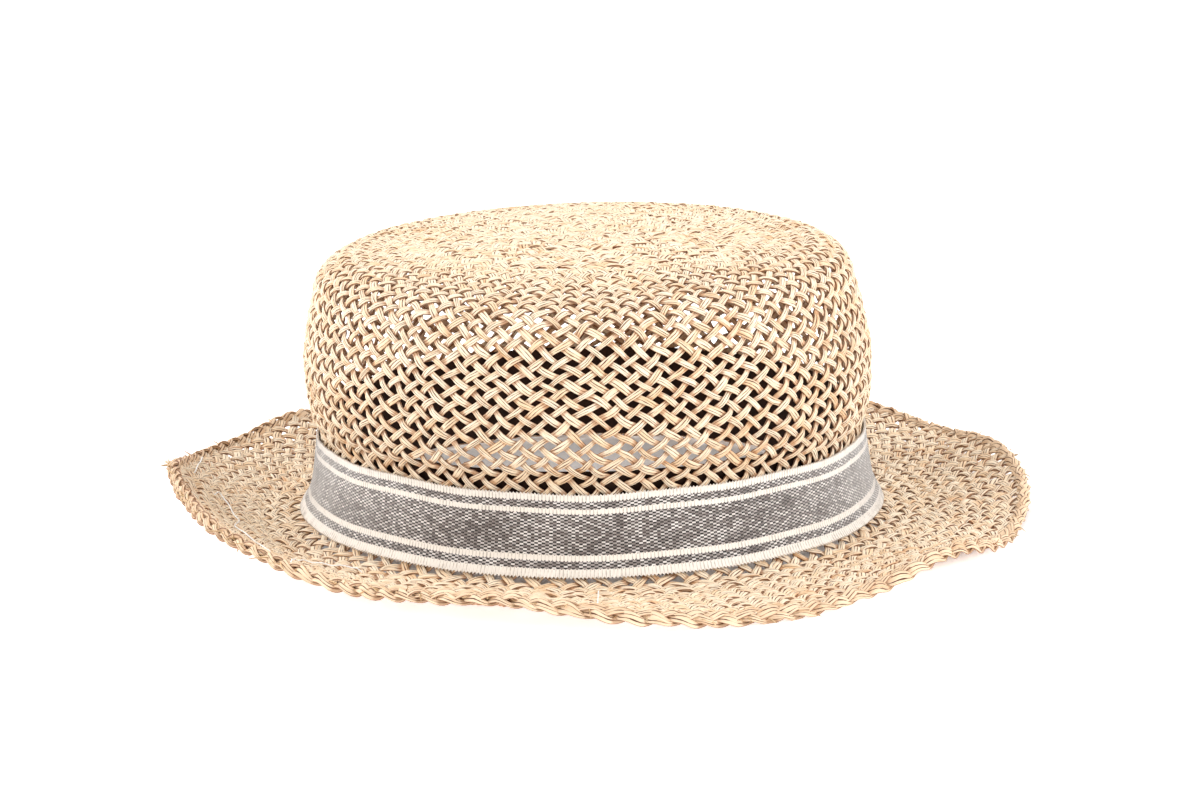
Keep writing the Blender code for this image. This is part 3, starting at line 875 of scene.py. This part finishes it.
class HAT_OT_ribbon(Operator):
    """Bends the striped ribbon round the foot of the crown, with its ribs"""

    bl_idname = "hat.ribbon"
    bl_label = "Ribbon"

    def execute(self, context):
        sizes = context.scene.hat_sizes
        turn = np.linspace(0, 2 * math.pi, 1440)
        middle = straw_point(np.full(turn.shape, place_of_height(BAND_HEIGHT / 2)), turn)
        length = float(np.linalg.norm(np.diff(middle, axis=0), axis=-1).sum())
        ribs = round(length / sizes.ribbon_rib)

        def shape(around_it, rise):
            angle = 2 * math.pi * around_it + math.pi / 2
            tooth = np.cos(2 * math.pi * ribs * around_it)
            edge = np.abs(2 * rise - 1) ** 14
            # It runs a little up and down round the crown, and stands off the straw in small waves
            sway = 0.00035 * np.sin(5 * angle + 0.6) + 0.00025 * np.sin(13 * angle)
            slack = 0.00022 * np.sin(17 * angle + 5 * rise) + 0.00018 * np.sin(29 * angle - 4 * rise)
            height = rise * BAND_HEIGHT - RIBBON_DROP * (1 - rise) + sway * (0.4 + 0.6 * rise)
            height = height + RIBBON_TOOTH * tooth * edge * np.sign(rise - 0.5)
            tops = PROFILE_HEIGHT <= SHOULDER_FOOT
            place = np.interp(-height, -PROFILE_HEIGHT[tops], PROFILE_DISTANCE[tops])
            proud = sizes.ribbon_thickness + RIBBON_GAP + 0.7 * np.abs(slack) + RIB_DEPTH * tooth
            return straw_point(place, angle) + straw_normal(place, angle) * proud[:, None]

        # The free end laps over the start at the back, where it is folded under and sewn down
        lap = sizes.ribbon_lap / length
        lap_gap, fold_height = 0.00012, 0.00025

        def lap_shape(across, rise):
            fold = np.clip((0.08 - across) / 0.08, 0, 1)
            under = shape((across - 0.5) * lap, rise)
            angle = 2 * math.pi * (across - 0.5) * lap + math.pi / 2
            place = np.interp(-rise * BAND_HEIGHT, -PROFILE_HEIGHT, PROFILE_DISTANCE)
            lift = sizes.ribbon_thickness + lap_gap + fold_height * np.sin(math.pi * fold)
            return under + straw_normal(place, angle) * lift[:, None]

        cream = context.scene.hat_colours.ribbon_cream
        cloth = ribbon_cloth("cotton ribbon, ribbed", sizes.ribbon_rib, cream)
        lap_ribs = round(sizes.ribbon_lap / sizes.ribbon_rib)
        for name, count, form in (("ribbon", ribs, shape), ("ribbon_lap", lap_ribs, lap_shape)):
            piece = band_sheet(name, 4 * count, 9, sizes.ribbon_thickness, form)
            uv = piece.data.uv_layers.active.data
            flat = np.empty(len(uv) * 2, np.float32)
            uv.foreach_get("uv", flat)
            flat[0::2] *= count * sizes.ribbon_rib
            uv.foreach_set("uv", flat)
            dress(piece, cloth, "ribbon", "hat_band")
        return {"FINISHED"}


class HAT_OT_sweatband(Operator):
    """Sets the dark tape inside the foot of the crown"""

    bl_idname = "hat.sweatband"
    bl_label = "Sweatband"

    def execute(self, context):
        low = -SWEATBAND_DROP

        def shape(around_it, rise):
            angle = 2 * math.pi * around_it + math.pi / 2
            height = low + rise * SWEATBAND_HEIGHT
            radius = WALL_RADIUS(height)
            step = 0.0004
            slope = (WALL_RADIUS(height + step) - WALL_RADIUS(height - step)) / (2 * step)
            inset = (STRAW_THICKNESS + CLEARANCE) * np.hypot(1, slope)
            # Its upper edge wavers a little, away from the straw
            waver = 0.00025 * (1 - np.cos(23 * angle + 3 * rise)) * rise
            return hat_point(radius - inset - waver, angle, height)

        piece = band_sheet("sweat_tape", 360, 10, TAPE_THICKNESS, shape)
        tape = sweat_tape("cotton tape, dark brown", context.scene.hat_colours.tape_brown)
        dress(piece, tape, "sweatband", "sweatband")
        return {"FINISHED"}


class HAT_OT_fibres(Operator):
    """Frays the edge of the brim with loose fibre ends"""

    bl_idname = "hat.fibres"
    bl_label = "Loose fibres"

    def execute(self, context):
        sizes = context.scene.hat_sizes
        rng = np.random.default_rng(5)
        count = sizes.fibres
        steps = np.linspace(0, 1, 7)[None]
        # The left of the edge is frayed most
        angle = rng.uniform(0, 2 * math.pi, (count, 1))
        angle = np.where(rng.uniform(0, 1, (count, 1)) < 0.35, np.pi + 0.27 * angle, angle)
        start = EDGE_PLACE + PLAIT_RADIUS * rng.uniform(0.2, 1.8, (count, 1))
        # Length, and how far it leans round the edge, curls and rises
        ranges = ((0.0010, 0.0036), (-1.2, 1.2), (-0.7, 0.7), (-1.0, 0.6))
        length, lean, curl, rise = [rng.uniform(*ends, (count, 1)) for ends in ranges]
        place = start + length * steps * np.cos(lean)
        girth = HALF_WIDTH + BRIM_WIDTH
        turned = angle + length * steps * (np.sin(lean) + curl * steps) / girth
        normal = straw_normal(np.full(turned.shape, EDGE_PLACE - EDGE_STEP), turned)
        lift = rise * length * steps**1.5 - STRAW_THICKNESS / 2
        centre = straw_point(place, turned) + normal * lift[..., None]
        thin = rng.uniform(0.00020, 0.00056, (count, 1)) * (1.05 - 0.7 * steps)
        rings = cord_rings(centre, normal, thin, 0.7 * thin, np.array(ROUND_SECTION))
        straw = seagrass(
            "seagrass, frayed", "#E9D2A8", "#D0A678", "#99653C", "#8F5B36", "#7A4B29", "#5A341C",
        )
        piece = cord_object("loose_fibres", rings, rng.uniform(0, 1, count), np.zeros(thin.shape))
        dress(piece, straw, "straw_edge", "edge_plait")
        return {"FINISHED"}


class HAT_OT_thread(Operator):
    """Lays the clear thread over the left of the brim, with a stitch at the front"""

    bl_idname = "hat.thread"
    bl_label = "Clear thread"

    def execute(self, context):
        radius = context.scene.hat_sizes.thread / 2
        # The thread lies on the cords and humps over them. Both its ends go down through the straw
        above, hump, below = 0.0005, 0.0004, 0.0024
        lines = []
        for route in THREAD_ROUTES:
            degrees, inside = zip(*route)
            share = np.linspace(0, 1, 60)
            knots = np.linspace(0, 1, len(route))
            angle = np.radians(curve_through(knots, degrees)(share))
            place = EDGE_PLACE - curve_through(knots, inside)(share) / 1000
            dive = np.clip(1 - np.minimum(share, 1 - share) / 0.06, 0, 1) ** 1.5
            lift = radius + above + hump * np.sin(17 * share) ** 2 - below * dive
            lines.append(straw_point(place, angle) + straw_normal(place, angle) * lift[:, None])
        centre = np.array(lines)
        up = np.broadcast_to(np.array([0.0, 0.0, 1.0]), centre.shape)
        thick = np.full(centre.shape[:2], radius)
        rings = cord_rings(centre, up, thick, thick, np.array(ROUND_SECTION))
        piece = cord_object("clear_thread", rings, np.zeros(len(lines)), np.zeros(thick.shape))
        dress(piece, clear_nylon("nylon, drawn"), "straw_edge", "edge_plait")
        return {"FINISHED"}


class HAT_OT_stage(Operator):
    """Lays the pale floor and sets the soft light and the camera"""

    bl_idname = "hat.stage"
    bl_label = "Floor, light and camera"

    def execute(self, context):
        bpy.ops.object.select_all(action="DESELECT")
        bpy.ops.mesh.primitive_plane_add(size=12)
        floor = context.active_object
        floor.name = "floor"
        floor.data.materials.append(glowing_floor("white acrylic, sanded"))
        world = bpy.data.worlds.new("studio")
        context.scene.world = world
        world.use_nodes = True
        sky = world.node_tree.nodes["Background"].inputs
        sky["Color"].default_value = linear("#FFFFFF")
        sky["Strength"].default_value = 0.85
        # Columns: name, place, size, power in watts
        lamps = (
            ("overhead", (0.15, 0.20, 1.5), 1.4, 9.5),
            ("front_left", (-1.25, -0.90, 1.05), 0.9, 10.5),
            ("back_left", (-1.35, 0.45, 0.80), 0.8, 11.0),
            ("front_right", (1.45, -0.7, 0.8), 0.9, 17.0),
        )
        target = Vector((0, 0, 0.04))
        for name, place, size, power in lamps:
            bpy.ops.object.light_add(type="AREA", location=place)
            lamp = context.active_object
            lamp.name = name
            lamp.data.size = size
            lamp.data.energy = power
            lamp.rotation_euler = (target - Vector(place)).to_track_quat("-Z", "Y").to_euler()
        self.camera(context)
        context.scene.view_settings.view_transform = "Standard"
        return {"FINISHED"}

    def camera(self, context):
        """The photograph's angle: 12.8 degrees above the brim, seen from 1.2 m."""
        elevation = math.radians(12.78)
        roll = math.radians(-0.86)
        distance = 1.2
        aim = CROWN_FOOT + Vector((0.0030, 0, 0.0319))
        data = bpy.data.cameras.new("camera")
        data.sensor_width = 36
        data.lens = 109.56
        camera = bpy.data.objects.new("camera", data)
        context.scene.collection.objects.link(camera)
        camera.location = aim + distance * Vector((0, -math.cos(elevation), math.sin(elevation)))
        tilt = Euler((math.pi / 2 - elevation, 0, 0)).to_matrix()
        camera.rotation_euler = (tilt @ Matrix.Rotation(roll, 3, "Z")).to_euler()
        context.scene.camera = camera


class HAT_PT_panel(Panel):
    """Lists the hat's pieces in the order in which they are made"""

    bl_idname = "HAT_PT_panel"
    bl_label = "Straw Hat"
    bl_space_type = "VIEW_3D"
    bl_region_type = "UI"
    bl_category = "Straw Hat"

    def draw(self, context):
        for group in (context.scene.hat_sizes, context.scene.hat_colours):
            for name in group.bl_rna.properties.keys():
                if name not in {"rna_type", "name"}:
                    self.layout.prop(group, name)
        for operator in OPERATORS:
            self.layout.operator(operator.bl_idname)


OPERATORS = (
    HAT_OT_straw, HAT_OT_plait, HAT_OT_ribbon, HAT_OT_sweatband, HAT_OT_fibres, HAT_OT_thread,
    HAT_OT_stage,
)
CLASSES = (HatSizes, HatColours, *OPERATORS, HAT_PT_panel)


def register():
    for item in CLASSES:
        bpy.utils.register_class(item)
    bpy.types.Scene.hat_sizes = PointerProperty(type=HatSizes)
    bpy.types.Scene.hat_colours = PointerProperty(type=HatColours)


def unregister():
    del bpy.types.Scene.hat_colours
    del bpy.types.Scene.hat_sizes
    for item in reversed(CLASSES):
        bpy.utils.unregister_class(item)


def main():
    register()
    bpy.ops.hat.straw()
    bpy.ops.hat.plait()
    bpy.ops.hat.ribbon()
    bpy.ops.hat.sweatband()
    bpy.ops.hat.fibres()
    bpy.ops.hat.thread()
    bpy.ops.hat.stage()


if __name__ == "__main__":
    main()
